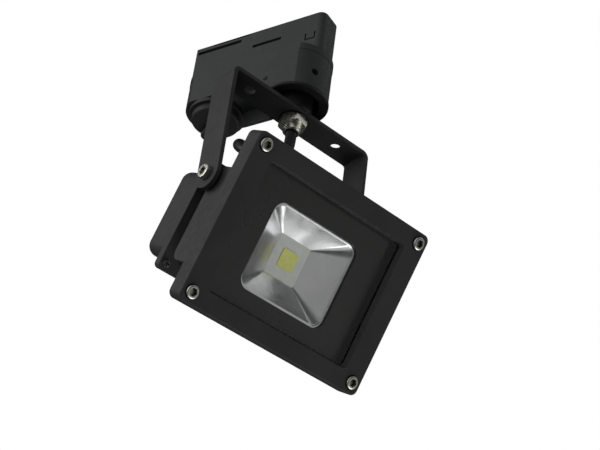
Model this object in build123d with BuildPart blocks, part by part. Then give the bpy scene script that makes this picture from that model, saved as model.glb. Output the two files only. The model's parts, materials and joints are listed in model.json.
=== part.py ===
from build123d import *
import os
from math import cos, pi, radians, sin, tan

# Track spotlight: a small flood-light head in a U bracket, hung from a three-circuit track adapter.
# Millimetres. The origin is on the pan axis, in the plane where the adapter meets the track.
# +X runs along the track, +Y across it, +Z up into the track.

os.makedirs("parts", exist_ok=True)

# ---- rest pose -------------------------------------------------------------------------------
PAN = 17.3                # bracket turned clockwise from straight across the track, degrees
TILT = 30.5               # head's front tilted down from level, degrees

# ---- track adapter ---------------------------------------------------------------------------
KNOB_X = -51.5            # lock knob's axis
END_R = 17.5              # round ends of the lower housing
FLAT_HALF = 15.5          # half width over the flat sides
PLATE_T = 4.0             # closing plate at the track's face
PLATE_R = 17.7
HOUSING_BOTTOM = -20.0    # underside of the housing between its two ends
BOSS_BOTTOM = -29.5       # underside of the swivel boss
WALL = 2.0
BOSS_CORE_TOP = -13.0     # solid boss that guides the stem
RING_R = 17.9
RING_T = 1.8
RECESS_R = 12.5
RECESS_DEPTH = 6.0
WEB_LEFT = -35.6          # upright web between the boss and the knob's end
WEB_NEAR, WEB_T = 4.0, 2.0

INSERT_X0, INSERT_X1 = -67.2, 16.4
INSERT_HALF = 8.2
INSERT_H = 27.2
INSERT_WALL = 1.8
INSERT_END_ROUND = 4.0    # upright corners at the stem's end
TONGUE_Z, TONGUE_T = 22.1, 1.4
TONGUE_L, TONGUE_W = 27.6, 9.0
CONTACT_X, CONTACT_L, CONTACT_Z = -19.4, 18.4, 14.6
CONTACT_SLOT_H = 2.0
SLOT_GAP = 0.4
TERMINAL_L, TERMINAL_W, TERMINAL_H = 24.0, 12.0, 8.0
TERMINAL_X = -29.8
SET_SCREW_R, SET_SCREW_Z, SET_SCREW_ANGLE = 2.1, -17.4, -27.5
PIN_X, PIN_Z = -11.1, -19.1

KNOB_FLANGE_R, KNOB_R = 15.6, 13.6
KNOB_FLANGE_T, KNOB_DRUM_T, KNOB_GRIP_H = 2.4, 4.2, 3.4
KNOB_GRIP_W = 7.0
SHAFT_R = 4.5

# ---- swivel stem -----------------------------------------------------------------------------
STEM_R, STEM_BORE_R = 4.8, 3.5
RUN_CLEARANCE = 0.05      # radial clearance of each running fit
FACE_GAP = 0.05           # between flat faces that slide on each other
STRAP_T = 2.3
STRAP_UNDER = -39.3       # underside of the bracket's base
STEM_TAIL = 9.3           # stem below the base
NUT_AF, NUT_T = 13.6, 4.2
WASHER_R, WASHER_T = 7.7, 0.8

# ---- bracket ---------------------------------------------------------------------------------
STRAP_W = 16.5
STRAP_HALF = 48.3         # half width over the outer faces of the arms
STRAP_BEND = 1.6          # inside bend radius
PIVOT_DROP = 64.5         # pivot below the base's underside
BASE_HOLE_R, BASE_HOLE_X = 3.0, 31.0
PIVOT_R = 2.0
PIVOT_HEAD_R, PIVOT_HEAD_H = 4.0, 3.0

# ---- head ------------------------------------------------------------------------------------
FACE_AHEAD = 47.1         # front face ahead of the pivot
FACE_UP = -21.3           # centre of the face above the pivot
BEZEL_W, BEZEL_H, BEZEL_D = 114.0, 89.0, 10.5
BEZEL_CORNER = 3.5
WINDOW_W, WINDOW_H = 89.0, 68.5
WINDOW_CORNER = 2.0
GLASS_D, GLASS_T, GLASS_LAP = 3.0, 3.8, 2.0
SCREW_X, SCREW_Y = 51.5, 38.7
SCREW_HEAD_R, SCREW_HEAD_H, SCREW_HEX = 3.4, 3.0, 1.9
SINK_FLANGE_D = 5.6
BOWL_W, BOWL_H, BOWL_BACK = 98.0, 74.0, 23.5
BOWL_WALL = 3.0
FLOOR_D = 21.6
CORE_HALF, CORE_BACK = 44.0, 47.9
CORE_LOW, CORE_TOP = -24.0, 28.0
CHEEK_T, CHEEK_CORNER = 3.0, 5.0
LUG_R = 7.9
FIN_T, FIN_PITCH, FIN_COUNT = 1.8, 8.0, 9
DRIVER_D = 57.6           # front face of the driver housing
DRIVER_BASE_T = 4.4
DRIVER_LOW, DRIVER_TOP = -30.0, 26.5
COVER_BACK = 82.3
COVER_LOW, COVER_TOP = -23.5, 24.2
COVER_HALF = 43.4
COVER_CORNER, COVER_ROUND = 6.0, 5.5
COVER_WALL = 2.0
CLEAR_W, CLEAR_H, CLEAR_CORNER = 54.0, 46.0, 6.0
CLEAR_X, CLEAR_Y = -1.0, -1.2
COB_SIZE, COB_T = 30.0, 1.2
COB_SCREW_GRID, COB_SCREW_L = 26.4, 3.4
COB_X, COB_Y = -0.9, 0.3
COB_WINDOW_W, COB_WINDOW_H = 19.4, 21.0    # reflector's small end
PHOSPHOR = 9.6
GLAND_Y = 4.0
GLAND_HEX, GLAND_HEX_T = 15.0, 4.0
GLAND_DOME_R, GLAND_DOME_L = 6.8, 9.0
CABLE_R = 3.0

# ---- frames of the moving parts --------------------------------------------------------------
Z_UP = Vector(0, 0, 1)
lateral = Vector(sin(radians(PAN)), cos(radians(PAN)), 0)
forward = Vector(cos(radians(PAN)), -sin(radians(PAN)), 0)
normal = forward * cos(radians(TILT)) - Z_UP * sin(radians(TILT))
head_up = forward * sin(radians(TILT)) + Z_UP * cos(radians(TILT))
pivot = Vector(0, 0, STRAP_UNDER - PIVOT_DROP)
face_centre = pivot + normal * FACE_AHEAD + head_up * FACE_UP


def across_head(depth):
    """Plane parallel to the glass, so far behind the front face; x to the right, y up."""
    return Plane(origin=face_centre - normal * depth, x_dir=lateral, z_dir=normal)


def beside_head(x):
    """Plane parallel to the head's sides; x runs backwards from the front face, y up."""
    return Plane(origin=face_centre + lateral * x, x_dir=-normal, z_dir=lateral)


def under_base(z):
    """Level plane about the pan axis; x along the bracket's base, y backwards."""
    return Plane(origin=(0, 0, z), x_dir=lateral, z_dir=Z_UP)


def beside_arm(x):
    """Upright plane parallel to the arms, about the pivot; x backwards, y up."""
    return Plane(origin=pivot + lateral * x, x_dir=-forward, z_dir=lateral)


def write(builder, name):
    builder.part.label = name
    export_step(builder.part, f"parts/{name}.step")


def housing_outline(radius, flat):
    """Round-ended outline about the stem and the knob, trimmed to flat sides."""
    with Locations((KNOB_X / 2, 0)):
        SlotCenterToCenter(-KNOB_X, 2 * radius)
        Rectangle(-KNOB_X + 2 * radius, 2 * flat, mode=Mode.INTERSECT)


def flatted_disc(radius, flat):
    Circle(radius)
    Rectangle(2 * radius, 2 * flat, mode=Mode.INTERSECT)


# ==== track adapter ===========================================================================
set_screw_axis = (cos(radians(SET_SCREW_ANGLE)), sin(radians(SET_SCREW_ANGLE)), 0)
set_screw_plane = Plane(origin=(0, 0, SET_SCREW_Z), x_dir=(0, 0, 1), z_dir=set_screw_axis)
with BuildPart() as adapter_body:
    with BuildSketch(Plane.XY.offset(HOUSING_BOTTOM)):
        housing_outline(END_R, FLAT_HALF)
    extrude(amount=-PLATE_T - HOUSING_BOTTOM)
    with BuildSketch(Plane.XY.offset(BOSS_BOTTOM)):
        flatted_disc(END_R, FLAT_HALF)
        with Locations((-WALL - END_R / 2, 0)):
            Rectangle(END_R / 2, 2 * FLAT_HALF)
    extrude(amount=HOUSING_BOTTOM - BOSS_BOTTOM)
    with BuildSketch(Plane.XY.offset(BOSS_BOTTOM)):
        with Locations(((WEB_LEFT - END_R / 2) / 2, WEB_NEAR + WEB_T / 2)):
            Rectangle(-WEB_LEFT - END_R / 2, WEB_T)
    extrude(amount=HOUSING_BOTTOM - BOSS_BOTTOM)
    with BuildSketch(Plane.XY.offset(HOUSING_BOTTOM + WALL)):
        housing_outline(END_R - WALL, FLAT_HALF - WALL)
        with Locations((0, 0)):
            Rectangle(2 * END_R, 2 * FLAT_HALF, mode=Mode.SUBTRACT)
    extrude(amount=-PLATE_T - HOUSING_BOTTOM - WALL, mode=Mode.SUBTRACT)
    with BuildSketch(Plane.XY.offset(BOSS_CORE_TOP)):
        flatted_disc(END_R - WALL, FLAT_HALF - WALL)
        with Locations((-END_R + WALL, 0)):
            Rectangle(2 * END_R - 2 * WALL, 2 * (FLAT_HALF - WALL))
    extrude(amount=-PLATE_T - BOSS_CORE_TOP, mode=Mode.SUBTRACT)
    with BuildSketch(Plane.XY.offset(BOSS_BOTTOM)):
        Circle(RECESS_R)
    extrude(amount=RECESS_DEPTH, mode=Mode.SUBTRACT)
    with BuildSketch(Plane.XY.offset(BOSS_BOTTOM)):
        Circle(STEM_R + RUN_CLEARANCE)
        with Locations((KNOB_X, 0)):
            Circle(SHAFT_R + RUN_CLEARANCE)
    extrude(amount=-BOSS_BOTTOM, mode=Mode.SUBTRACT)
    with BuildSketch(Plane.XY.offset(BOSS_BOTTOM)):
        Circle(RING_R + 1)
        Circle(RECESS_R, mode=Mode.SUBTRACT)
    extrude(amount=RING_T, mode=Mode.SUBTRACT)
    # round socket of the grub screw that sets how stiffly the stem turns
    with BuildSketch(set_screw_plane):
        Circle(SET_SCREW_R)
    extrude(amount=END_R + 1, mode=Mode.SUBTRACT)
    # blind socket for the moulded locating pin on the near flat
    with BuildSketch(Plane(origin=(PIN_X, -FLAT_HALF, PIN_Z), x_dir=(1, 0, 0), z_dir=(0, 1, 0))):
        Circle(1.4)
    extrude(amount=1.2, mode=Mode.SUBTRACT)
write(adapter_body, "adapter_body")

with BuildPart() as locating_pin:
    with BuildSketch(Plane(origin=(PIN_X, -FLAT_HALF - 0.3, PIN_Z), x_dir=(1, 0, 0), z_dir=(0, 1, 0))):
        Circle(1.1)
    extrude(amount=1.5)
write(locating_pin, "locating_pin")

with BuildPart() as boss_ring:
    with BuildSketch(Plane.XY.offset(BOSS_BOTTOM)):
        Circle(RING_R)
        Circle(RECESS_R, mode=Mode.SUBTRACT)
    extrude(amount=RING_T)
    chamfer(boss_ring.edges().group_by(Axis.Z)[0], 0.5)
write(boss_ring, "boss_ring")

with BuildPart() as closing_plate:
    with BuildSketch(Plane.XY.offset(-PLATE_T)):
        housing_outline(PLATE_R, FLAT_HALF)
    extrude(amount=PLATE_T)
    with BuildSketch(Plane.XY.offset(-PLATE_T)):
        with Locations((KNOB_X, 0)):
            Circle(SHAFT_R + RUN_CLEARANCE)
        with Locations((-19, 0)):
            SlotCenterToCenter(14, 8)
    extrude(amount=PLATE_T, mode=Mode.SUBTRACT)
    fillet(closing_plate.edges().group_by(Axis.Z)[-1].sort_by(SortBy.LENGTH)[-1], 0.5)
write(closing_plate, "closing_plate")

insert_centre = (INSERT_X0 + INSERT_X1) / 2
insert_length = INSERT_X1 - INSERT_X0
with BuildPart() as track_insert:
    with BuildSketch() as insert_outline:
        with Locations((insert_centre, 0)):
            Rectangle(insert_length, 2 * INSERT_HALF)
        insert_ends = insert_outline.vertices().group_by(Axis.X)
        fillet(insert_ends[-1], INSERT_END_ROUND)
        fillet(insert_ends[0], 1.2)
    extrude(amount=INSERT_H)
    chamfer(track_insert.faces().sort_by(Axis.Z)[-1].edges(), 0.8)
    with BuildSketch():
        with Locations((insert_centre, 0)):
            Rectangle(insert_length - 2 * INSERT_WALL, 2 * (INSERT_HALF - INSERT_WALL))
    extrude(amount=INSERT_H - INSERT_WALL, mode=Mode.SUBTRACT)
    # slots in both sides for the lock tongue and the phase contact
    for x, length, z, height in ((KNOB_X, TONGUE_L + 1.4, TONGUE_Z - SLOT_GAP, TONGUE_T + 2 * SLOT_GAP),
                                 (CONTACT_X, CONTACT_L, CONTACT_Z, CONTACT_SLOT_H)):
        with BuildSketch(Plane.XY.offset(z)):
            with Locations((x, 0)):
                Rectangle(length, 2 * INSERT_HALF + 2)
        extrude(amount=height, mode=Mode.SUBTRACT)
    # shallow groove under the top edge and the U cut round each spring tab
    for side in (-1, 1):
        with BuildSketch(Plane.XY.offset(INSERT_H - 1.8)):
            with Locations((-43, side * INSERT_HALF)):
                Rectangle(24, 1.2)
        extrude(amount=0.8, mode=Mode.SUBTRACT)
        with BuildSketch(Plane(origin=(8.8, side * INSERT_HALF, 10.6), x_dir=(1, 0, 0), z_dir=(0, -1, 0))):
            Rectangle(6.6, 5.0)
            with Locations((0, 0.9)):
                Rectangle(4.8, 5.0, mode=Mode.SUBTRACT)
        extrude(amount=0.9, both=True, mode=Mode.SUBTRACT)
write(track_insert, "track_insert")

with BuildPart() as lock_knob:
    knob_top = HOUSING_BOTTOM - FACE_GAP
    with BuildSketch(Plane.XY.offset(knob_top - KNOB_FLANGE_T)):
        with Locations((KNOB_X, 0)):
            Circle(KNOB_FLANGE_R)
    extrude(amount=KNOB_FLANGE_T)
    with BuildSketch(Plane.XY.offset(knob_top - KNOB_FLANGE_T - KNOB_DRUM_T)):
        with Locations((KNOB_X, 0)):
            Circle(KNOB_R)
    extrude(amount=KNOB_DRUM_T)
    fillet(lock_knob.edges().group_by(Axis.Z)[0], 1.6)
    with BuildSketch(Plane.XY.offset(knob_top - KNOB_FLANGE_T - KNOB_DRUM_T - KNOB_GRIP_H)):
        with Locations((KNOB_X, 0)):
            SlotOverall(2 * KNOB_R - 1.0, KNOB_GRIP_W, rotation=-30)
    extrude(amount=KNOB_GRIP_H + 1.0)
    fillet(lock_knob.edges().group_by(Axis.Z)[0], 1.4)
    with BuildSketch(Plane.XY.offset(knob_top)):
        with Locations((KNOB_X, 0)):
            Circle(SHAFT_R - 1.0)
    extrude(amount=-5.0, mode=Mode.SUBTRACT)
write(lock_knob, "lock_knob")

with BuildPart() as lock_shaft:
    with BuildSketch(Plane.XY.offset(knob_top)):
        with Locations((KNOB_X, 0)):
            Circle(SHAFT_R)
    extrude(amount=TONGUE_Z - knob_top)
    with BuildSketch(Plane.XY.offset(knob_top)):
        with Locations((KNOB_X, 0)):
            Circle(SHAFT_R - 1.0)
    extrude(amount=-5.0)
    with BuildSketch(Plane.XY.offset(TONGUE_Z)):
        with Locations((KNOB_X, 0)):
            Rectangle(5, 5)
    extrude(amount=TONGUE_T)
write(lock_shaft, "lock_shaft")

with BuildPart() as lock_tongue:
    with BuildSketch(Plane.XY.offset(TONGUE_Z)):
        with Locations((KNOB_X, 0)):
            SlotOverall(TONGUE_L, TONGUE_W)
            Rectangle(5, 5, mode=Mode.SUBTRACT)
    extrude(amount=TONGUE_T)
write(lock_tongue, "lock_tongue")

with BuildPart() as shaft_ring:
    with BuildSketch(Plane.XY.offset(0.3)):
        with Locations((KNOB_X, 0)):
            Circle(SHAFT_R + 1.5)
            Circle(SHAFT_R, mode=Mode.SUBTRACT)
    extrude(amount=1.0)
write(shaft_ring, "shaft_ring")

with BuildPart() as phase_contacts:
    with BuildSketch(Plane.XY.offset(CONTACT_Z + 0.3)):
        with Locations((CONTACT_X, -INSERT_HALF + 4.9), (CONTACT_X, INSERT_HALF - 4.9)):
            Rectangle(CONTACT_L - 1.6, 3.6)
    extrude(amount=1.1)
write(phase_contacts, "phase_contacts")

with BuildPart() as contact_carrier:
    with BuildSketch(Plane.XY.offset(0.3)):
        with Locations((CONTACT_X, 0)):
            Rectangle(CONTACT_L + 2, 2 * (INSERT_HALF - INSERT_WALL) - 0.4)
    extrude(amount=CONTACT_Z)
    with BuildSketch(Plane.XY.offset(0.3)):
        with Locations((CONTACT_X + 7, 0)):
            Rectangle(3, 6)
    extrude(amount=CONTACT_Z, mode=Mode.SUBTRACT)
write(contact_carrier, "contact_carrier")

with BuildPart() as neutral_contact:
    with BuildSketch(Plane.XY.offset(CONTACT_Z + 1.6)):
        with Locations((CONTACT_X, 0)):
            Rectangle(12, 5)
    extrude(amount=1.0)
write(neutral_contact, "neutral_contact")

with BuildPart() as terminal_block:
    with BuildSketch(Plane.XY.offset(HOUSING_BOTTOM + WALL)):
        with Locations((TERMINAL_X, 0)):
            Rectangle(TERMINAL_L, TERMINAL_W)
    extrude(amount=TERMINAL_H)
    with BuildSketch(Plane.XY.offset(HOUSING_BOTTOM + WALL + TERMINAL_H)):
        with Locations((TERMINAL_X, 0)):
            with GridLocations(7, 1, 3, 1):
                Circle(1.8)
    extrude(amount=-5, mode=Mode.SUBTRACT)
write(terminal_block, "terminal_block")

with BuildPart() as terminal_screws:
    with BuildSketch(Plane.XY.offset(HOUSING_BOTTOM + WALL + TERMINAL_H - 4.5)):
        with Locations((TERMINAL_X, 0)):
            with GridLocations(7, 1, 3, 1):
                Circle(1.75)
    extrude(amount=3.5)
write(terminal_screws, "terminal_screws")

with BuildPart() as pan_set_screw:
    with BuildSketch(set_screw_plane.offset(STEM_R + 0.6)):
        Circle(SET_SCREW_R)
    extrude(amount=5.0)
write(pan_set_screw, "pan_set_screw")

# ==== swivel stem and bracket =================================================================
strap_top = STRAP_UNDER + STRAP_T
stem_top = BOSS_CORE_TOP + 6.0
with BuildPart() as swivel_stem:
    with BuildSketch(Plane.XY.offset(STRAP_UNDER - STEM_TAIL)):
        Circle(STEM_R)
    extrude(amount=stem_top - STRAP_UNDER + STEM_TAIL)
    chamfer(swivel_stem.edges().group_by(Axis.Z)[0], 0.6)
    with BuildSketch(Plane.XY.offset(STRAP_UNDER - STEM_TAIL)):
        Circle(STEM_BORE_R)
    extrude(amount=stem_top - STRAP_UNDER + STEM_TAIL, mode=Mode.SUBTRACT)
write(swivel_stem, "swivel_stem")

with BuildPart() as stem_top_nut:
    with BuildSketch(Plane.XY.offset(BOSS_CORE_TOP + FACE_GAP + 1.0)):
        RegularPolygon(NUT_AF / 2, 6, major_radius=False)
        Circle(STEM_R, mode=Mode.SUBTRACT)
    extrude(amount=3.0)
write(stem_top_nut, "stem_top_nut")

with BuildPart() as stem_top_washer:
    with BuildSketch(Plane.XY.offset(BOSS_CORE_TOP + FACE_GAP)):
        Circle(8.5)
        Circle(STEM_R, mode=Mode.SUBTRACT)
    extrude(amount=1.0)
write(stem_top_washer, "stem_top_washer")

with BuildPart() as spacer_collar:
    with BuildSketch(Plane.XY.offset(strap_top)):
        Circle(9.5)
        Circle(STEM_R, mode=Mode.SUBTRACT)
    extrude(amount=BOSS_BOTTOM + RECESS_DEPTH - FACE_GAP - strap_top)
    chamfer(spacer_collar.edges().group_by(Axis.Z)[0].sort_by(SortBy.LENGTH)[-1], 0.8)
write(spacer_collar, "spacer_collar")

with BuildPart() as u_bracket:
    arm_length = PIVOT_DROP + STRAP_T
    with BuildSketch(Plane(origin=(0, 0, strap_top), x_dir=lateral, z_dir=forward)) as strap:
        with Locations((0, -arm_length / 2)):
            Rectangle(2 * STRAP_HALF, arm_length)
        fillet(strap.vertices().group_by(Axis.Y)[-1], STRAP_BEND + STRAP_T)
        with Locations((0, -STRAP_T - arm_length / 2)):
            Rectangle(2 * (STRAP_HALF - STRAP_T), arm_length, mode=Mode.SUBTRACT)
        mouth_corners = strap.vertices().filter_by(lambda v: abs(v.Y + STRAP_T) < 0.01)
        fillet(mouth_corners, STRAP_BEND)
    extrude(amount=STRAP_W / 2, both=True)
    # rounded lower ends of the arms
    with BuildSketch(beside_arm(-STRAP_HALF)):
        Circle(STRAP_W / 2)
    extrude(amount=STRAP_T)
    with BuildSketch(beside_arm(STRAP_HALF)):
        Circle(STRAP_W / 2)
    extrude(amount=-STRAP_T)
    with BuildSketch(beside_arm(-STRAP_HALF)):
        Circle(PIVOT_R + 0.25)
    extrude(amount=2 * STRAP_HALF, mode=Mode.SUBTRACT)
    with BuildSketch(under_base(STRAP_UNDER)):
        Circle(STEM_R)
        with Locations((-BASE_HOLE_X, 0), (BASE_HOLE_X, 0)):
            Circle(BASE_HOLE_R)
    extrude(amount=STRAP_T, mode=Mode.SUBTRACT)
write(u_bracket, "u_bracket")

with BuildPart() as base_washer:
    with BuildSketch(Plane.XY.offset(STRAP_UNDER - WASHER_T)):
        Circle(WASHER_R)
        Circle(STEM_R, mode=Mode.SUBTRACT)
    extrude(amount=WASHER_T)
write(base_washer, "base_washer")

with BuildPart() as hex_nut:
    nut_low = STRAP_UNDER - WASHER_T - NUT_T
    with BuildSketch(under_base(nut_low)):
        RegularPolygon(NUT_AF / 2, 6, major_radius=False, rotation=8)
    extrude(amount=NUT_T)
    # both ends of the nut are turned to a cone
    with BuildSketch(Plane.XZ) as nut_profile:
        with BuildLine():
            Polyline((0, nut_low), (NUT_AF / 2 + 0.1, nut_low), (NUT_AF / 2 + 1.6, nut_low + 0.8),
                     (NUT_AF / 2 + 1.6, nut_low + NUT_T - 0.8), (NUT_AF / 2 + 0.1, nut_low + NUT_T),
                     (0, nut_low + NUT_T), close=True)
        make_face()
    revolve(axis=Axis.Z, mode=Mode.INTERSECT)
    with BuildSketch(under_base(nut_low)):
        Circle(STEM_R)
    extrude(amount=NUT_T, mode=Mode.SUBTRACT)
write(hex_nut, "hex_nut")

# ==== head: front =============================================================================
with BuildPart() as bezel:
    with BuildSketch(across_head(BEZEL_D)):
        RectangleRounded(BEZEL_W, BEZEL_H, BEZEL_CORNER)
    extrude(amount=BEZEL_D)
    fillet(bezel.faces().filter_by(lambda f: abs(f.normal_at().dot(normal) - 1) < 1e-6)
           .sort_by(SortBy.AREA)[-1].edges(), 0.8)
    with BuildSketch(across_head(GLASS_D)):
        RectangleRounded(WINDOW_W - 1.2, WINDOW_H - 1.2, WINDOW_CORNER)
    with BuildSketch(across_head(0)):
        RectangleRounded(WINDOW_W + 0.8, WINDOW_H + 0.8, WINDOW_CORNER + 1)
    loft(mode=Mode.SUBTRACT)
    with BuildSketch(across_head(BEZEL_D)):
        RectangleRounded(WINDOW_W + 2 * GLASS_LAP, WINDOW_H + 2 * GLASS_LAP, WINDOW_CORNER)
    extrude(amount=BEZEL_D - GLASS_D, mode=Mode.SUBTRACT)
    with BuildSketch(across_head(BEZEL_D)):
        RectangleRounded(BEZEL_W - 4.0, BEZEL_H - 4.0, BEZEL_CORNER - 1)
    extrude(amount=BEZEL_D - SINK_FLANGE_D, mode=Mode.SUBTRACT)
    with BuildSketch(across_head(0)):
        with GridLocations(2 * SCREW_X, 2 * SCREW_Y, 2, 2):
            Circle(SCREW_HEAD_R + 0.35)
    extrude(amount=-1.6, mode=Mode.SUBTRACT)
    with BuildSketch(across_head(0)):
        with GridLocations(2 * SCREW_X, 2 * SCREW_Y, 2, 2):
            Circle(1.75)
    extrude(amount=-SINK_FLANGE_D, mode=Mode.SUBTRACT)
write(bezel, "bezel")

with BuildPart() as bezel_screws:
    with BuildSketch(across_head(1.6)):
        with GridLocations(2 * SCREW_X, 2 * SCREW_Y, 2, 2):
            Circle(SCREW_HEAD_R)
    extrude(amount=SCREW_HEAD_H)
    fillet(bezel_screws.faces().filter_by(lambda f: f.normal_at().dot(normal) > 0.999).edges(), 0.8)
    with BuildSketch(across_head(1.6 - SCREW_HEAD_H)):
        with GridLocations(2 * SCREW_X, 2 * SCREW_Y, 2, 2):
            RegularPolygon(SCREW_HEX, 6, major_radius=False)
    extrude(amount=-2.2, mode=Mode.SUBTRACT)
    with BuildSketch(across_head(1.6)):
        with GridLocations(2 * SCREW_X, 2 * SCREW_Y, 2, 2):
            Circle(1.7)
    extrude(amount=-7.0)
write(bezel_screws, "bezel_screws")

glass_w, glass_h = WINDOW_W + 2 * GLASS_LAP - 0.6, WINDOW_H + 2 * GLASS_LAP - 0.6
glass_back = GLASS_D + GLASS_T
with BuildPart() as window_glass:
    with BuildSketch(across_head(glass_back)):
        RectangleRounded(glass_w, glass_h, WINDOW_CORNER - 0.5)
    extrude(amount=GLASS_T)
write(window_glass, "window_glass")

MASK_T, MASK_GAP = 0.15, 0.05
mask_back = glass_back + MASK_GAP + MASK_T
with BuildPart() as glass_mask:
    with BuildSketch(across_head(mask_back)):
        RectangleRounded(glass_w, glass_h, WINDOW_CORNER - 0.5)
        with Locations((CLEAR_X, CLEAR_Y)):
            RectangleRounded(CLEAR_W, CLEAR_H, CLEAR_CORNER, mode=Mode.SUBTRACT)
    extrude(amount=MASK_T)
write(glass_mask, "glass_mask")

SEAL_T = 0.75
seal_back = mask_back + SEAL_T
with BuildPart() as glass_gasket:
    with BuildSketch(across_head(seal_back)):
        RectangleRounded(glass_w, glass_h, WINDOW_CORNER - 0.5)
        RectangleRounded(glass_w - 4.4, glass_h - 4.4, 1.0, mode=Mode.SUBTRACT)
    extrude(amount=SEAL_T)
write(glass_gasket, "glass_gasket")

# ---- light source ----------------------------------------------------------------------------
REFLECTOR_T = 0.6
RIM_LIP, RIM_DEPTH = 1.4, 1.2
reflector_front = seal_back + 0.3
cob_front = FLOOR_D - 0.4 - COB_T
with BuildPart() as reflector:
    with BuildSketch(across_head(reflector_front + REFLECTOR_T)):
        RectangleRounded(BOWL_W - 2 * BOWL_WALL - 6, BOWL_H - 2 * BOWL_WALL - 6, 3)
    extrude(amount=REFLECTOR_T)
    # stepped rim, then the pyramid: the outside is added first, then the inside is cut away
    for wall, cut in ((REFLECTOR_T, Mode.ADD), (0, Mode.SUBTRACT)):
        with BuildSketch(across_head(reflector_front)):
            with Locations((CLEAR_X, CLEAR_Y)):
                RectangleRounded(CLEAR_W - RIM_LIP + 2 * wall, CLEAR_H - RIM_LIP + 2 * wall, CLEAR_CORNER)
        extrude(amount=-RIM_DEPTH - wall, mode=cut)
        with BuildSketch(across_head(reflector_front + RIM_DEPTH)):
            with Locations((CLEAR_X, CLEAR_Y)):
                RectangleRounded(CLEAR_W - 2 * RIM_LIP + 2 * wall, CLEAR_H - 2 * RIM_LIP + 2 * wall,
                                 CLEAR_CORNER - RIM_LIP / 2)
        with BuildSketch(across_head(cob_front)):
            with Locations((COB_X, COB_Y)):
                RectangleRounded(COB_WINDOW_W + 2 * wall, COB_WINDOW_H + 2 * wall, 0.8)
        loft(mode=cut)
write(reflector, "reflector")

with BuildPart() as cob_board:
    with BuildSketch(across_head(cob_front + COB_T)):
        with Locations((COB_X, COB_Y)):
            Rectangle(COB_SIZE, COB_SIZE)
            with GridLocations(COB_SCREW_GRID, COB_SCREW_GRID, 2, 2):
                Circle(1.1, mode=Mode.SUBTRACT)
    extrude(amount=COB_T)
write(cob_board, "cob_board")

with BuildPart() as cob_phosphor:
    with BuildSketch(across_head(cob_front)):
        with Locations((COB_X, COB_Y)):
            RectangleRounded(PHOSPHOR, PHOSPHOR, 0.8)
    extrude(amount=0.5)
write(cob_phosphor, "cob_phosphor")

with BuildPart() as cob_screws:
    with BuildSketch(across_head(cob_front)):
        with Locations((COB_X, COB_Y)):
            with GridLocations(COB_SCREW_GRID, COB_SCREW_GRID, 2, 2):
                Circle(1.1)
    extrude(amount=-COB_SCREW_L)
    with BuildSketch(across_head(cob_front)):
        with Locations((COB_X, COB_Y)):
            with GridLocations(COB_SCREW_GRID, COB_SCREW_GRID, 2, 2):
                Circle(1.5)
    extrude(amount=0.5)
write(cob_screws, "cob_screws")

with BuildPart() as thermal_pad:
    with BuildSketch(across_head(FLOOR_D)):
        with Locations((COB_X, COB_Y)):
            Rectangle(COB_SIZE, COB_SIZE)
            with GridLocations(COB_SCREW_GRID, COB_SCREW_GRID, 2, 2):
                Circle(1.2, mode=Mode.SUBTRACT)
    extrude(amount=0.4)
write(thermal_pad, "thermal_pad")

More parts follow.
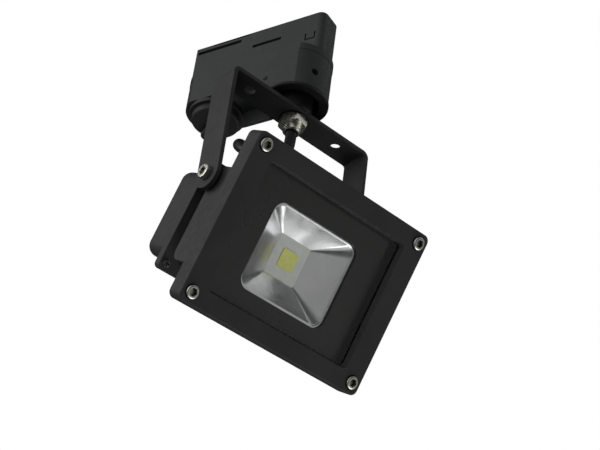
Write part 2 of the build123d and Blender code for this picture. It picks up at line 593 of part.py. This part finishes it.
# ---- heat sink -------------------------------------------------------------------------------
pivot_depth, pivot_y = FACE_AHEAD, -FACE_UP
LEAD_HOLE_X, LEAD_HOLE_Y, LEAD_HOLE_R = 20.0, -14.0, 2.2    # between two fins, beside the board
fin_span = (FIN_COUNT - 1) * FIN_PITCH
with BuildPart() as heat_sink:
    with BuildSketch(across_head(BEZEL_D - 0.1)):
        RectangleRounded(BEZEL_W - 4.6, BEZEL_H - 4.6, BEZEL_CORNER - 1.2)
    extrude(amount=BEZEL_D - 0.1 - SINK_FLANGE_D - 0.1)
    with BuildSketch(across_head(BOWL_BACK)):
        RectangleRounded(BOWL_W, BOWL_H, 5)
    extrude(amount=BOWL_BACK - BEZEL_D + 0.2)
    with BuildSketch(across_head(seal_back)):
        RectangleRounded(glass_w + 0.4, glass_h + 0.4, WINDOW_CORNER)
    extrude(amount=seal_back, mode=Mode.SUBTRACT)
    with BuildSketch(across_head(FLOOR_D)):
        RectangleRounded(BOWL_W - 2 * BOWL_WALL, BOWL_H - 2 * BOWL_WALL, 4)
    extrude(amount=FLOOR_D, mode=Mode.SUBTRACT)
    # two cheeks that carry the pivots
    for side in (-1, 1):
        with BuildSketch(beside_head(side * CORE_HALF)) as cheek:
            with BuildLine():
                FilletPolyline((BOWL_BACK - 2, CORE_LOW), (CORE_BACK, CORE_LOW), (CORE_BACK, CORE_TOP),
                               (BOWL_BACK - 2, CORE_TOP), radius=CHEEK_CORNER)
                Line((BOWL_BACK - 2, CORE_TOP), (BOWL_BACK - 2, CORE_LOW))
            make_face()
            with Locations((pivot_depth, pivot_y)):
                Circle(LUG_R)
        extrude(amount=-side * CHEEK_T)
        with BuildSketch(beside_head(side * (CORE_HALF - CHEEK_T))):
            with Locations((pivot_depth, pivot_y)):
                Circle(LUG_R - 1.5)
        extrude(amount=-side * 3.2)
    # upright fins between the bowl and the driver housing
    for i in range(FIN_COUNT):
        with BuildSketch(beside_head(i * FIN_PITCH - fin_span / 2 - FIN_T / 2)):
            with Locations(((BOWL_BACK - 1 + DRIVER_D) / 2, (CORE_LOW + CORE_TOP) / 2)):
                Rectangle(DRIVER_D - BOWL_BACK + 1, CORE_TOP - CORE_LOW)
        extrude(amount=FIN_T)
    for side in (-1, 1):
        with BuildSketch(beside_head(side * (CORE_HALF + 1))):
            with Locations((pivot_depth, pivot_y)):
                Circle(PIVOT_R)
        extrude(amount=-side * 8, mode=Mode.SUBTRACT)
    with BuildSketch(across_head(SINK_FLANGE_D)):
        with GridLocations(2 * SCREW_X, 2 * SCREW_Y, 2, 2):
            Circle(1.7)
    extrude(amount=-BEZEL_D, mode=Mode.SUBTRACT)
    with BuildSketch(across_head(FLOOR_D)):
        with Locations((COB_X, COB_Y)):
            with GridLocations(COB_SCREW_GRID, COB_SCREW_GRID, 2, 2):
                Circle(1.1)
    extrude(amount=FLOOR_D - cob_front - COB_SCREW_L, mode=Mode.SUBTRACT)
    with BuildSketch(across_head(FLOOR_D)):
        with Locations((LEAD_HOLE_X, LEAD_HOLE_Y)):
            Circle(LEAD_HOLE_R)
    extrude(amount=-(DRIVER_D - FLOOR_D), mode=Mode.SUBTRACT)
write(heat_sink, "heat_sink")

# ---- driver housing --------------------------------------------------------------------------
driver_mid, driver_h = (DRIVER_LOW + DRIVER_TOP) / 2, DRIVER_TOP - DRIVER_LOW
cover_mid, cover_h = (COVER_LOW + COVER_TOP) / 2, COVER_TOP - COVER_LOW
cover_front = DRIVER_D + DRIVER_BASE_T
DRIVER_SCREW_INSET = 3.6
DRIVER_SCREW_X = CORE_HALF - DRIVER_SCREW_INSET
driver_screw_places = [(DRIVER_SCREW_X, DRIVER_LOW + DRIVER_SCREW_INSET),
                       (-DRIVER_SCREW_X, DRIVER_LOW + DRIVER_SCREW_INSET),
                       (36, DRIVER_TOP - DRIVER_SCREW_INSET), (-36, DRIVER_TOP - DRIVER_SCREW_INSET)]
with BuildPart() as driver_base:
    with BuildSketch(across_head(cover_front)):
        with Locations((0, driver_mid)):
            RectangleRounded(2 * CORE_HALF, driver_h, 2.5)
    extrude(amount=DRIVER_BASE_T)
    with BuildSketch(across_head(cover_front)):
        with Locations((0, cover_mid)):
            RectangleRounded(2 * COVER_HALF - 10, cover_h - 10, 2)
    extrude(amount=DRIVER_BASE_T - 2.0, mode=Mode.SUBTRACT)
    with BuildSketch(across_head(DRIVER_D)):
        with Locations(*driver_screw_places):
            Circle(1.1)
        with Locations((LEAD_HOLE_X, LEAD_HOLE_Y)):
            Circle(LEAD_HOLE_R)
    extrude(amount=-DRIVER_BASE_T, mode=Mode.SUBTRACT)
    chamfer(driver_base.faces().filter_by(lambda f: f.normal_at().dot(normal) < -0.999)
            .sort_by(SortBy.AREA)[-1].outer_wire().edges(), 0.5)
write(driver_base, "driver_base")

with BuildPart() as driver_screws:
    with BuildSketch(across_head(DRIVER_D)):
        with Locations(*driver_screw_places):
            Circle(1.9)
    extrude(amount=1.6)
    with BuildSketch(across_head(DRIVER_D)):
        with Locations(*driver_screw_places):
            Circle(1.1)
    extrude(amount=-DRIVER_BASE_T)
    with BuildSketch(across_head(DRIVER_D - 1.6)):
        with Locations(*driver_screw_places):
            Rectangle(2.4, 0.6)
            Rectangle(0.6, 2.4)
    extrude(amount=-0.8, mode=Mode.SUBTRACT)
write(driver_screws, "driver_screws")

COVER_SEAL_T = 0.6
with BuildPart() as driver_seal:
    with BuildSketch(across_head(cover_front + COVER_SEAL_T)):
        with Locations((0, cover_mid)):
            RectangleRounded(2 * COVER_HALF - 1.2, cover_h - 1.2, 2)
            RectangleRounded(2 * COVER_HALF - 2 * COVER_WALL - 4, cover_h - 2 * COVER_WALL - 4, 2,
                             mode=Mode.SUBTRACT)
    extrude(amount=COVER_SEAL_T)
write(driver_seal, "driver_seal")

with BuildPart() as driver_cover:
    with BuildSketch(across_head(COVER_BACK)):
        with Locations((0, cover_mid)):
            RectangleRounded(2 * COVER_HALF, cover_h, COVER_CORNER)
    extrude(amount=COVER_BACK - cover_front - COVER_SEAL_T)
    fillet(driver_cover.faces().filter_by(lambda f: f.normal_at().dot(normal) < -0.999).edges(), COVER_ROUND)
    with BuildSketch(across_head(COVER_BACK - COVER_WALL)):
        with Locations((0, cover_mid)):
            RectangleRounded(2 * (COVER_HALF - COVER_WALL) - 3, cover_h - 2 * COVER_WALL - 3, 3)
    extrude(amount=COVER_BACK - COVER_WALL - cover_front, mode=Mode.SUBTRACT)
    with BuildSketch(across_head(COVER_BACK)):
        with Locations((0, GLAND_Y)):
            Circle(5.0)
    extrude(amount=COVER_WALL, mode=Mode.SUBTRACT)
write(driver_cover, "driver_cover")

board_back = cover_front + COVER_SEAL_T + 1.0
with BuildPart() as driver_board:
    with BuildSketch(across_head(board_back)):
        with Locations((0, cover_mid)):
            Rectangle(68, 34)
    extrude(amount=1.6)
write(driver_board, "driver_board")

with BuildPart() as driver_transformer:
    with BuildSketch(across_head(board_back)):
        with Locations((-18, cover_mid)):
            Rectangle(17, 19)
    extrude(amount=-14)
    chamfer(driver_transformer.edges().filter_by(lambda e: abs(e.tangent_at(0.5).dot(normal)) > 0.99), 1.5)
write(driver_transformer, "driver_transformer")

with BuildPart() as driver_capacitors:
    for x, y, radius, height in ((24, cover_mid + 9, 4.0, 13.0), (24, cover_mid - 9, 4.0, 13.0),
                                 (-32, cover_mid, 2.5, 9.0)):
        with BuildSketch(across_head(board_back)):
            with Locations((x, y)):
                Circle(radius)
        extrude(amount=-height)
write(driver_capacitors, "driver_capacitors")

with BuildPart() as driver_inductor:
    with BuildSketch(across_head(board_back)):
        with Locations((8, cover_mid - 11)):
            Circle(5.0)
            Circle(2.0, mode=Mode.SUBTRACT)
    extrude(amount=-6)
write(driver_inductor, "driver_inductor")

with BuildPart() as led_leads:
    with BuildSketch(across_head(FLOOR_D - 0.8)):
        with Locations((LEAD_HOLE_X, LEAD_HOLE_Y)):
            with Locations((-0.9, 0), (0.9, 0)):
                Circle(0.8)
    extrude(amount=-(board_back - 1.6 - FLOOR_D + 0.8))
write(led_leads, "led_leads")

# ---- cable gland -----------------------------------------------------------------------------
with BuildPart() as cable_gland:
    with BuildSketch(across_head(COVER_BACK + GLAND_HEX_T)):
        with Locations((0, GLAND_Y)):
            RegularPolygon(GLAND_HEX / 2, 6, major_radius=False)
    extrude(amount=GLAND_HEX_T)
    with BuildSketch(across_head(COVER_BACK + GLAND_HEX_T)):
        with Locations((0, GLAND_Y)):
            Circle(5.0)
    extrude(amount=GLAND_HEX_T + 6.0)
    with BuildSketch(across_head(COVER_BACK + GLAND_HEX_T)):
        with Locations((0, GLAND_Y)):
            Circle(CABLE_R)
    extrude(amount=GLAND_HEX_T + 6.0, mode=Mode.SUBTRACT)
write(cable_gland, "cable_gland")

gland_back = COVER_BACK + GLAND_HEX_T + GLAND_DOME_L
with BuildPart() as gland_dome_nut:
    with BuildSketch(across_head(gland_back)):
        with Locations((0, GLAND_Y)):
            Circle(GLAND_DOME_R)
    extrude(amount=GLAND_DOME_L)
    fillet(gland_dome_nut.faces().filter_by(lambda f: f.normal_at().dot(normal) < -0.999).edges(), 2.6)
    with BuildSketch(across_head(gland_back)):
        with Locations((0, GLAND_Y)):
            Circle(CABLE_R)
    extrude(amount=GLAND_DOME_L, mode=Mode.SUBTRACT)
write(gland_dome_nut, "gland_dome_nut")

with BuildPart() as gland_locknut:
    with BuildSketch(across_head(COVER_BACK - COVER_WALL)):
        with Locations((0, GLAND_Y)):
            RegularPolygon(6.5, 6, major_radius=False)
            Circle(5.0, mode=Mode.SUBTRACT)
    extrude(amount=2.5)
write(gland_locknut, "gland_locknut")

# ---- pivots ----------------------------------------------------------------------------------
arm_inner = STRAP_HALF - STRAP_T
with BuildPart() as pivot_screws:
    for side in (-1, 1):
        with BuildSketch(beside_arm(side * (STRAP_HALF + FACE_GAP))):
            Circle(PIVOT_HEAD_R)
        extrude(amount=side * PIVOT_HEAD_H)
    fillet(pivot_screws.edges().filter_by(GeomType.CIRCLE)
           .filter_by(lambda e: abs((e.arc_center - pivot).dot(lateral)) > STRAP_HALF + 2), 0.6)
    for side in (-1, 1):
        with BuildSketch(beside_arm(side * (STRAP_HALF + FACE_GAP + PIVOT_HEAD_H))):
            RegularPolygon(2.0, 6, major_radius=False)
        extrude(amount=-side * 2.0, mode=Mode.SUBTRACT)
        with BuildSketch(beside_arm(side * (STRAP_HALF + FACE_GAP))):
            Circle(PIVOT_R)
        extrude(amount=-side * 9.5)
write(pivot_screws, "pivot_screws")

with BuildPart() as pivot_washers:
    for side in (-1, 1):
        with BuildSketch(beside_arm(side * CORE_HALF)):
            Circle(5.0)
            Circle(PIVOT_R, mode=Mode.SUBTRACT)
        extrude(amount=side * (arm_inner - CORE_HALF - FACE_GAP))
write(pivot_washers, "pivot_washers")

# ---- jumper cable ----------------------------------------------------------------------------
# Corners of the route: distance along the bracket's base, forwards, and height. It drops from the
# stem, loops out to the left, passes back under the base and comes round into the gland.
stem_end = STRAP_UNDER - STEM_TAIL
gland_tip = face_centre - normal * gland_back + head_up * GLAND_Y
gland_run = gland_tip - normal * 9.5
route_corners = [(0, 0, stem_end), (0.2, 0.3, stem_end - 12), (-7.5, 2, stem_end - 22.5),
                 (-18.5, -5, stem_end - 23.5), (-22.5, -14.5, stem_end - 15), (-13.5, -26, stem_end - 2),
                 (-2, -34.5, stem_end + 5.5), (7, -48, stem_end + 2.5), (8.5, -65.5, stem_end - 12.5),
                 (3.5, -68.5, stem_end - 28)]
route = [lateral * x + forward * f + Z_UP * z for x, f, z in route_corners] + [gland_run, gland_tip]


def bend_radii(points):
    """The largest even arc at each corner: 0.45 of the shorter run over the half turn's tangent."""
    radii = []
    for before, corner, after in zip(points, points[1:], points[2:]):
        first, second = corner - before, after - corner
        half_turn = radians(first.get_angle(second)) / 2
        radii.append(0.45 * min(first.length, second.length) / tan(half_turn))
    return radii


cable_radii = bend_radii(route)
print("cable bend radii", [round(r, 1) for r in cable_radii])
with BuildPart() as jumper_cable:
    with BuildLine() as cable_line:
        FilletPolyline(*route, radius=cable_radii)
    cable_path = cable_line.wires()[0]
    with BuildSketch(Plane(origin=cable_path @ 0, z_dir=cable_path % 0)):
        Circle(CABLE_R)
    sweep(path=cable_path)
cable_volume = cable_path.length * pi * CABLE_R ** 2
print("cable length", round(cable_path.length, 1), "volume ratio", round(jumper_cable.part.volume / cable_volume, 4))
write(jumper_cable, "jumper_cable")
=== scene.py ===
"""Track spotlight in its studio: camera, jumper cable, materials and lights."""
import json
import math

import bpy
from mathutils import Matrix, Vector


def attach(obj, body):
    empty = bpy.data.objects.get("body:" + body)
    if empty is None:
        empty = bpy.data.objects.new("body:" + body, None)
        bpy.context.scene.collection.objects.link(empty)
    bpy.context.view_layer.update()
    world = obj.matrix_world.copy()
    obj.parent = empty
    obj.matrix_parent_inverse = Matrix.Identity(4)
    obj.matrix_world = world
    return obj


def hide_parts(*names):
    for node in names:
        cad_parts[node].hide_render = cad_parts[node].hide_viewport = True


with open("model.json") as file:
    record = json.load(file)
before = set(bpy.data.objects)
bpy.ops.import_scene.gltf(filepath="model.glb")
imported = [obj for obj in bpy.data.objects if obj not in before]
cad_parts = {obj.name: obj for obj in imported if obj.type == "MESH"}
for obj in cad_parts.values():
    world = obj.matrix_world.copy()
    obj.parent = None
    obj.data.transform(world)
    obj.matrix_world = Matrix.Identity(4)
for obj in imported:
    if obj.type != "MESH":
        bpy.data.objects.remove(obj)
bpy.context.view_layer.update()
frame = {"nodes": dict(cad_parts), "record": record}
nodes = frame["nodes"]
scene = bpy.context.scene

# ---- the same frames as the CAD model --------------------------------------------------------
PAN, TILT = math.radians(17.3), math.radians(30.5)
Z_UP = Vector((0, 0, 1))
lateral = Vector((math.sin(PAN), math.cos(PAN), 0))
forward = Vector((math.cos(PAN), -math.sin(PAN), 0))
normal = forward * math.cos(TILT) - Z_UP * math.sin(TILT)
head_up = forward * math.sin(TILT) + Z_UP * math.cos(TILT)
PIVOT_DROP = 0.1038
FACE_AHEAD, FACE_DOWN = 0.0471, 0.0213
pivot = Vector((0, 0, -PIVOT_DROP))
face_centre = pivot + normal * FACE_AHEAD - head_up * FACE_DOWN


def on_head(x, y, depth):
    """A point of the head, in millimetres: right and up from the face's centre, and behind the face."""
    return face_centre + (lateral * x + head_up * y - normal * depth) / 1000


# ---- camera ----------------------------------------------------------------------------------
# A least-squares fit gave the lens, the turn and the offset. They were not set by hand.
CAMERA_LENS = 95.16
CAMERA_TURN = Vector((0.9067068, 0.3468637, -0.4272455))
CAMERA_OFFSET = Vector((-0.0025730, -0.0639815, 0.8484025))
FIT_ORIGIN = Vector((0, 0, 0.0295))


def make_camera():
    data = bpy.data.cameras.new("camera")
    data.sensor_width = 36.0
    data.lens = CAMERA_LENS
    data.clip_start, data.clip_end = 0.05, 30.0
    cam = bpy.data.objects.new("camera", data)
    scene.collection.objects.link(cam)
    to_camera = Matrix.Rotation(CAMERA_TURN.length, 3, CAMERA_TURN)
    offset = CAMERA_OFFSET + to_camera @ FIT_ORIGIN
    right, down, ahead = (Vector(row) for row in to_camera)
    place = Matrix((right, -down, -ahead)).transposed().to_4x4()
    place.translation = -(to_camera.transposed() @ offset)
    cam.matrix_world = place
    scene.camera = cam
    return cam


camera = make_camera()

# ---- jumper cable ----------------------------------------------------------------------------
GLAND_UP, GLAND_DEPTH = 4.0, 95.3
GLAND_RUN = 0.0095
CABLE_RADIUS = 0.0030
gland_tip = on_head(0, GLAND_UP, GLAND_DEPTH)
gland_run = gland_tip - normal * GLAND_RUN
# Control points in millimetres: across, ahead and up. A search found them, and they were
# rounded to half a millimetre. The gland's two points are added at the end.
ROUTE = [(0, 0, -48.6), (0.2, 0.3, -60.6), (-7.5, 2, -71.1), (-18.5, -5, -72.1), (-22.5, -14.5, -63.6),
         (-13.5, -26, -50.6), (-2, -34.5, -43.1), (7, -48, -46.1), (8.5, -65.5, -61.1), (3.5, -68.5, -76.6)]
route = [(lateral * x + forward * f + Z_UP * z) / 1000 for x, f, z in ROUTE] + [gland_run, gland_tip]


def make_cable(points, radius):
    curve = bpy.data.curves.new("jumper_cable_curve", "CURVE")
    curve.dimensions = "3D"
    line = curve.splines.new("NURBS")
    line.points.add(len(points) - 1)
    for p, co in zip(line.points, points):
        p.co = (*co, 1)
    line.order_u = 3
    line.use_endpoint_u = True
    line.resolution_u = 16
    curve.resolution_u = 16
    # The points carry the radius, so the line's bounding box is that of the tube.
    for point in line.points:
        point.radius = radius
    curve.bevel_depth = 1.0
    curve.bevel_resolution = 8
    curve.use_fill_caps = True
    cable = bpy.data.objects.new("jumper_cable_line", curve)
    scene.collection.objects.link(cable)
    return cable


cable = make_cable(route, CABLE_RADIUS)
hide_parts("jumper_cable")
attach(cable, "bracket")


# ---- materials -------------------------------------------------------------------------------
class Shader:
    """A node material: a principled surface with noise in its colour, roughness and relief."""

    def __init__(self, name, base, rough, metallic=0.0, specular=0.5):
        self.material = bpy.data.materials.new(name)
        self.material.use_nodes = True
        self.tree = self.material.node_tree
        self.surface = self.tree.nodes["Principled BSDF"]
        self.surface.inputs["Base Color"].default_value = (*base, 1)
        self.surface.inputs["Roughness"].default_value = rough
        self.surface.inputs["Metallic"].default_value = metallic
        self.surface.inputs["Specular IOR Level"].default_value = specular
        self.base, self.rough = base, rough
        self.coords = self.tree.nodes.new("ShaderNodeTexCoord").outputs["Object"]
        self.last_bump = None

    def noise(self, scale, detail=3.0, roughness=0.55, stretch=None):
        node = self.tree.nodes.new("ShaderNodeTexNoise")
        node.inputs["Scale"].default_value = scale
        node.inputs["Detail"].default_value = detail
        node.inputs["Roughness"].default_value = roughness
        source = self.coords
        if stretch:
            mapping = self.tree.nodes.new("ShaderNodeMapping")
            mapping.inputs["Scale"].default_value = stretch
            self.tree.links.new(source, mapping.inputs["Vector"])
            source = mapping.outputs["Vector"]
        self.tree.links.new(source, node.inputs["Vector"])
        return node.outputs["Fac"]

    def painted_recess_shade(self, reach):
        """How open the surface is within so many metres: low in a socket, where the colour is darkened as
        painted shade.
        """
        node = self.tree.nodes.new("ShaderNodeAmbientOcclusion")
        node.inputs["Distance"].default_value = reach
        node.samples = 8
        return node.outputs["AO"]

    def ramp(self, value, low, high, start=0.35, end=0.65):
        node = self.tree.nodes.new("ShaderNodeMapRange")
        node.inputs["From Min"].default_value = start
        node.inputs["From Max"].default_value = end
        node.inputs["To Min"].default_value = low
        node.inputs["To Max"].default_value = high
        self.tree.links.new(value, node.inputs["Value"])
        return node.outputs["Result"]

    def tint(self, value, other, start=0.35, end=0.65, amount=1.0):
        """Mixes the colour so far with another, where value runs from start to end."""
        mix = self.tree.nodes.new("ShaderNodeMix")
        mix.data_type = "RGBA"
        target = self.surface.inputs["Base Color"]
        if target.links:
            self.tree.links.new(target.links[0].from_socket, mix.inputs["A"])
        else:
            mix.inputs["A"].default_value = (*self.base, 1)
        mix.inputs["B"].default_value = (*other, 1)
        self.tree.links.new(self.ramp(value, 0.0, amount, start, end), mix.inputs["Factor"])
        self.tree.links.new(mix.outputs["Result"], target)
        return self

    def sheet(self, ior, tint):
        """Makes a clear pane: it lets light straight through and mirrors by its Fresnel share."""
        through = self.tree.nodes.new("ShaderNodeBsdfTransparent")
        through.inputs["Color"].default_value = (*tint, 1)
        mirror = self.tree.nodes.new("ShaderNodeBsdfAnisotropic")
        roughness = self.surface.inputs["Roughness"].links[0].from_socket
        self.tree.links.new(roughness, mirror.inputs["Roughness"])
        share = self.tree.nodes.new("ShaderNodeFresnel")
        share.inputs["IOR"].default_value = ior
        outside = self.tree.nodes.new("ShaderNodeMath")
        outside.operation = "SUBTRACT"
        outside.use_clamp = True
        self.tree.links.new(share.outputs["Fac"], outside.inputs[0])
        geometry = self.tree.nodes.new("ShaderNodeNewGeometry")
        self.tree.links.new(geometry.outputs["Backfacing"], outside.inputs[1])
        mix = self.tree.nodes.new("ShaderNodeMixShader")
        self.tree.links.new(outside.outputs["Value"], mix.inputs[0])
        self.tree.links.new(through.outputs["BSDF"], mix.inputs[1])
        self.tree.links.new(mirror.outputs["BSDF"], mix.inputs[2])
        self.tree.links.new(mix.outputs["Shader"], self.tree.nodes["Material Output"].inputs["Surface"])

    def roughen(self, value, low, high):
        self.tree.links.new(self.ramp(value, low, high), self.surface.inputs["Roughness"])
        return self

    def bump(self, value, distance, strength=1.0):
        node = self.tree.nodes.new("ShaderNodeBump")
        node.inputs["Distance"].default_value = distance
        node.inputs["Strength"].default_value = strength
        self.tree.links.new(value, node.inputs["Height"])
        if self.last_bump:
            self.tree.links.new(self.last_bump, node.inputs["Normal"])
        self.last_bump = node.outputs["Normal"]
        self.tree.links.new(self.last_bump, self.surface.inputs["Normal"])
        return self


def powder_coat(name, base, rough=0.55, light=1.25, grain=0.00005):
    s = Shader(name, base, rough, specular=0.13)
    pale = tuple(c * light for c in base)
    s.tint(s.noise(45, 4), pale)
    s.tint(s.noise(1900, 2), tuple(c * 1.12 for c in base), 0.45, 0.7, 0.6)
    s.roughen(s.noise(260, 3), rough - 0.05, rough + 0.07)
    s.bump(s.noise(2300, 2, 0.6), grain)
    s.bump(s.noise(420, 2, 0.5), grain * 0.8, 0.6)
    return s


def moulded(name, base, rough=0.5, grain=0.00004):
    s = Shader(name, base, rough, specular=0.22)
    s.tint(s.noise(60, 3), tuple(c * 1.2 for c in base))
    s.roughen(s.noise(500, 3), rough - 0.06, rough + 0.08)
    s.bump(s.noise(1500, 3, 0.6), grain)
    return s


def plated(name, base, rough=0.28, spots=(0.25, 0.25, 0.22)):
    s = Shader(name, base, rough, metallic=1.0)
    s.tint(s.noise(320, 4), spots, 0.5, 0.78, 0.5)
    s.tint(s.noise(60, 2), tuple(c * 0.82 for c in base))
    # Painted shade: the colour turns near black where ambient occlusion finds a recess within 3 mm, such as
    # a screw socket.
    s.tint(s.painted_recess_shade(0.003), (0.012, 0.012, 0.01), 0.62, 0.30)
    s.roughen(s.noise(900, 4, 0.6, (1, 1, 5)), rough - 0.08, rough + 0.14)
    s.bump(s.noise(1400, 3, 0.55, (1, 1, 6)), 0.00003)
    return s


housing_paint = powder_coat("housing_paint_grain", (0.026, 0.0262, 0.0275))
bracket_paint = powder_coat("bracket_paint_grain", (0.026, 0.026, 0.0265))
adapter_plastic = moulded("adapter_plastic_grain", (0.021, 0.0225, 0.023), 0.5)
knob_plastic = moulded("knob_plastic_grain", (0.018, 0.018, 0.019), 0.55, 0.00006)
black_plastic = moulded("black_plastic_grain", (0.006, 0.006, 0.0065), 0.45)
zinc = plated("zinc_plate", (0.66, 0.65, 0.58), 0.22, (0.42, 0.42, 0.36))
black_steel = plated("black_oxide", (0.05, 0.05, 0.05), 0.35, (0.02, 0.02, 0.02))
brass = plated("brass_turned", (0.75, 0.56, 0.26), 0.3, (0.35, 0.22, 0.08))
copper = plated("copper_strip", (0.82, 0.5, 0.33), 0.3, (0.35, 0.18, 0.1))
reflector_metal = Shader("reflector_metal", (0.86, 0.86, 0.87), 0.22, metallic=1.0)
reflector_metal.tint(reflector_metal.noise(90, 3), (0.80, 0.80, 0.81))
reflector_metal.roughen(reflector_metal.noise(200, 2), 0.19, 0.25)
board = Shader("board_metal", (0.66, 0.67, 0.64), 0.45)
board.tint(board.noise(250, 2), (0.60, 0.60, 0.58))
board.bump(board.noise(1500, 2), 0.00002)
phosphor = Shader("phosphor_gel", (0.66, 0.66, 0.17), 0.3)
phosphor.surface.inputs["Subsurface Weight"].default_value = 0.15
phosphor.surface.inputs["Subsurface Scale"].default_value = 0.002
phosphor.tint(phosphor.noise(500, 3), (0.72, 0.71, 0.25))
phosphor.bump(phosphor.noise(300, 2), 0.00005)
glass = Shader("window_glass_clear", (0.93, 0.96, 0.95), 0.02)
glass.roughen(glass.noise(40, 3), 0.01, 0.04)
glass.sheet(1.45, (0.985, 0.99, 0.985))
mask = Shader("mask_print", (0.004, 0.004, 0.003), 0.3)
mask.roughen(mask.noise(60, 2), 0.27, 0.33)
grey_rubber = moulded("gasket_rubber", (0.06, 0.06, 0.06), 0.75)
cable_rubber = moulded("cable_jacket", (0.008, 0.008, 0.008), 0.45, 0.00004)
pad = moulded("pad_silicone", (0.35, 0.35, 0.36), 0.7)
circuit = moulded("circuit_board", (0.02, 0.11, 0.045), 0.4)
component = moulded("component_black", (0.015, 0.015, 0.016), 0.4)
tape = moulded("transformer_tape", (0.55, 0.38, 0.04), 0.35)
wire_red = moulded("wire_insulation", (0.35, 0.02, 0.015), 0.45)

by_slot = {
    "adapter_plastic": adapter_plastic, "knob_plastic": knob_plastic, "black_plastic": black_plastic,
    "housing_paint": housing_paint, "bracket_paint": bracket_paint, "zinc_steel": zinc,
    "black_steel": black_steel, "brass": brass, "copper_contact": copper,
    "reflector_metal": reflector_metal, "board_metal": board, "phosphor": phosphor,
    "clear_glass": glass, "mask_paint": mask, "grey_rubber": grey_rubber,
    "cable_rubber": cable_rubber, "green_board": circuit, "component_black": component,
    "tape_yellow": tape, "wire_red": wire_red, "pad_grey": pad,
}
for sub in frame["record"]["subparts"]:
    node = nodes[sub["node"]]
    node.data.materials.clear()
    node.data.materials.append(by_slot[sub["material_slot"]].material)
cable.data.materials.append(cable_rubber.material)

# ---- studio ----------------------------------------------------------------------------------
FLOOR_HALF, FLOOR_LEVEL = 0.35, -1.3
KEY_ACROSS, KEY_ABOVE, KEY_RISE = 0.9, 0.35, 0.1
KEY_SIZE, KEY_POWER = 0.5, 3


def make_studio():
    world = bpy.data.worlds.new("studio_white")
    scene.world = world
    world.use_nodes = True
    tree = world.node_tree
    background = tree.nodes["Background"]
    background.inputs["Strength"].default_value = 1.0

    def lobe(direction, start, end, low, high):
        """Light that grows from low to high as a ray turns towards the direction."""
        towards = tree.nodes.new("ShaderNodeVectorMath")
        towards.operation = "DOT_PRODUCT"
        tree.links.new(around, towards.inputs[0])
        towards.inputs[1].default_value = direction.normalized()
        level = tree.nodes.new("ShaderNodeMapRange")
        level.interpolation_type = "SMOOTHSTEP"
        level.inputs["From Min"].default_value = start
        level.inputs["From Max"].default_value = end
        level.inputs["To Min"].default_value = low
        level.inputs["To Max"].default_value = high
        tree.links.new(towards.outputs["Value"], level.inputs["Value"])
        return level.outputs["Result"]

    # Soft light comes from the head's left. Mirrored light also comes from below, low ahead and above.
    around = tree.nodes.new("ShaderNodeTexCoord").outputs["Generated"]
    left = -lateral * 0.94 + Z_UP * 0.3 + forward * 0.1
    below = lateral * 0.5 + forward * 0.1 - Z_UP * 0.85
    low_front = lateral * 0.62 + forward * 0.66 - Z_UP * 0.43
    above = lateral * 0.5 + forward * 0.37 + Z_UP * 0.78
    path = tree.nodes.new("ShaderNodeLightPath")
    total = lobe(left, 0.3, 0.95, 0.05, 0.75)
    for part in (lobe(below, 0.80, 0.95, 0.0, 3.0), lobe(low_front, 0.90, 0.99, 0.0, 0.32),
                 lobe(above, 0.75, 0.97, 0.0, 0.5)):
        mirrored = tree.nodes.new("ShaderNodeMath")
        mirrored.operation = "ADD"
        tree.links.new(total, mirrored.inputs[0])
        tree.links.new(part, mirrored.inputs[1])
        total = mirrored.outputs["Value"]
    by_ray = tree.nodes.new("ShaderNodeMix")
    tree.links.new(path.outputs["Is Diffuse Ray"], by_ray.inputs["Factor"])
    tree.links.new(total, by_ray.inputs["A"])
    tree.links.new(lobe(left, -0.1, 0.95, 0.10, 1.12), by_ray.inputs["B"])
    seen = tree.nodes.new("ShaderNodeMix")
    tree.links.new(path.outputs["Is Camera Ray"], seen.inputs["Factor"])
    tree.links.new(by_ray.outputs["Result"], seen.inputs["A"])
    seen.inputs["B"].default_value = 1.0
    tree.links.new(seen.outputs["Result"], background.inputs["Color"])


def make_floor():
    half, level = FLOOR_HALF, FLOOR_LEVEL
    corners = [(-half, -half, level), (half, -half, level), (half, half, level), (-half, half, level)]
    mesh = bpy.data.meshes.new("studio_floor")
    mesh.from_pydata(corners, [], [(0, 1, 2, 3)])
    floor = bpy.data.objects.new("studio_floor", mesh)
    scene.collection.objects.link(floor)
    pale = Shader("floor_pale", (0.85, 0.85, 0.85), 0.7)
    pale.tint(pale.noise(3, 2), (0.88, 0.88, 0.88))
    floor.data.materials.append(pale.material)


def area_light(name, place, target, size, power):
    data = bpy.data.lights.new(name, "AREA")
    data.shape = "DISK"
    data.size = size
    data.energy = power
    light = bpy.data.objects.new(name, data)
    light.location = place
    light.rotation_mode = "QUATERNION"
    light.rotation_quaternion = (target - place).to_track_quat("-Z", "Y")
    scene.collection.objects.link(light)


make_studio()
make_floor()
aim = Vector((0, 0, -0.1))
left_of_camera = -Vector(camera.matrix_world.col[0][:3])
above_camera = Vector(camera.matrix_world.col[1][:3])
key_place = aim + left_of_camera * KEY_ACROSS + above_camera * KEY_ABOVE + Z_UP * KEY_RISE
area_light("key", key_place, aim, KEY_SIZE, KEY_POWER)
scene.view_settings.view_transform = "Standard"
